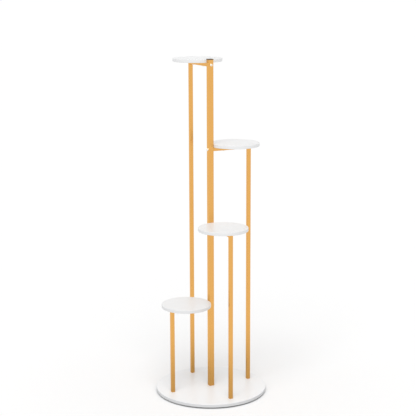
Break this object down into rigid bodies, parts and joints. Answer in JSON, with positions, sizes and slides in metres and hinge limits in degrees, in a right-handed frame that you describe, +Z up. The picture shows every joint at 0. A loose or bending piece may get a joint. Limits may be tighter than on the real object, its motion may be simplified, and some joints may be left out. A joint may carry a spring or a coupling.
{
  "type": "tiered plant stand",
  "caption": "Tall free-standing plant stand with round white shelves climbing round a square gold centre post on a round white base board.",
  "frame": {"origin": "on the floor at the middle of the base board, which is under the centre post", "axes": "+Z up along the centre post; the lowest shelf is towards -X, the second towards -Y, the third towards +X and the highest towards +Y"},
  "size_m": [0.4099, 0.41, 1.242],
  "materials": {
    "white_board": "white lacquered fibreboard, satin",
    "gold_tube": "satin gold on steel tube",
    "black_plastic": "moulded, fine grain",
    "foot_pad": "matt foam rubber",
    "bright_hardware": "bright nickel plate",
    "plain_steel": "zinc plated"
  },
  "bodies": {
    "root": {"arm_bolts": "bright_hardware", "arm_plugs": "plain_steel", "base_board": "white_board", "base_bolts": "bright_hardware", "base_washers": "bright_hardware", "centre_post_cap": "black_plastic", "centre_post_foot_plug": "plain_steel", "centre_post_joiner": "plain_steel", "centre_post_lower": "gold_tube", "centre_post_upper": "gold_tube", "foot_pads": "foot_pad", "outer_post_foot_plugs": "plain_steel", "tier_1_arm": "gold_tube", "tier_1_post": "gold_tube", "tier_1_shelf": "white_board", "tier_2_arm": "gold_tube", "tier_2_post": "gold_tube", "tier_2_shelf": "white_board", "tier_3_arm": "gold_tube", "tier_3_post_joiner": "plain_steel", "tier_3_post_lower": "gold_tube", "tier_3_post_upper": "gold_tube", "tier_3_shelf": "white_board", "tier_4_arm": "gold_tube", "tier_4_post_joiner": "plain_steel", "tier_4_post_lower": "gold_tube", "tier_4_post_upper": "gold_tube", "tier_4_shelf": "white_board"}
  },
  "joints": []
}
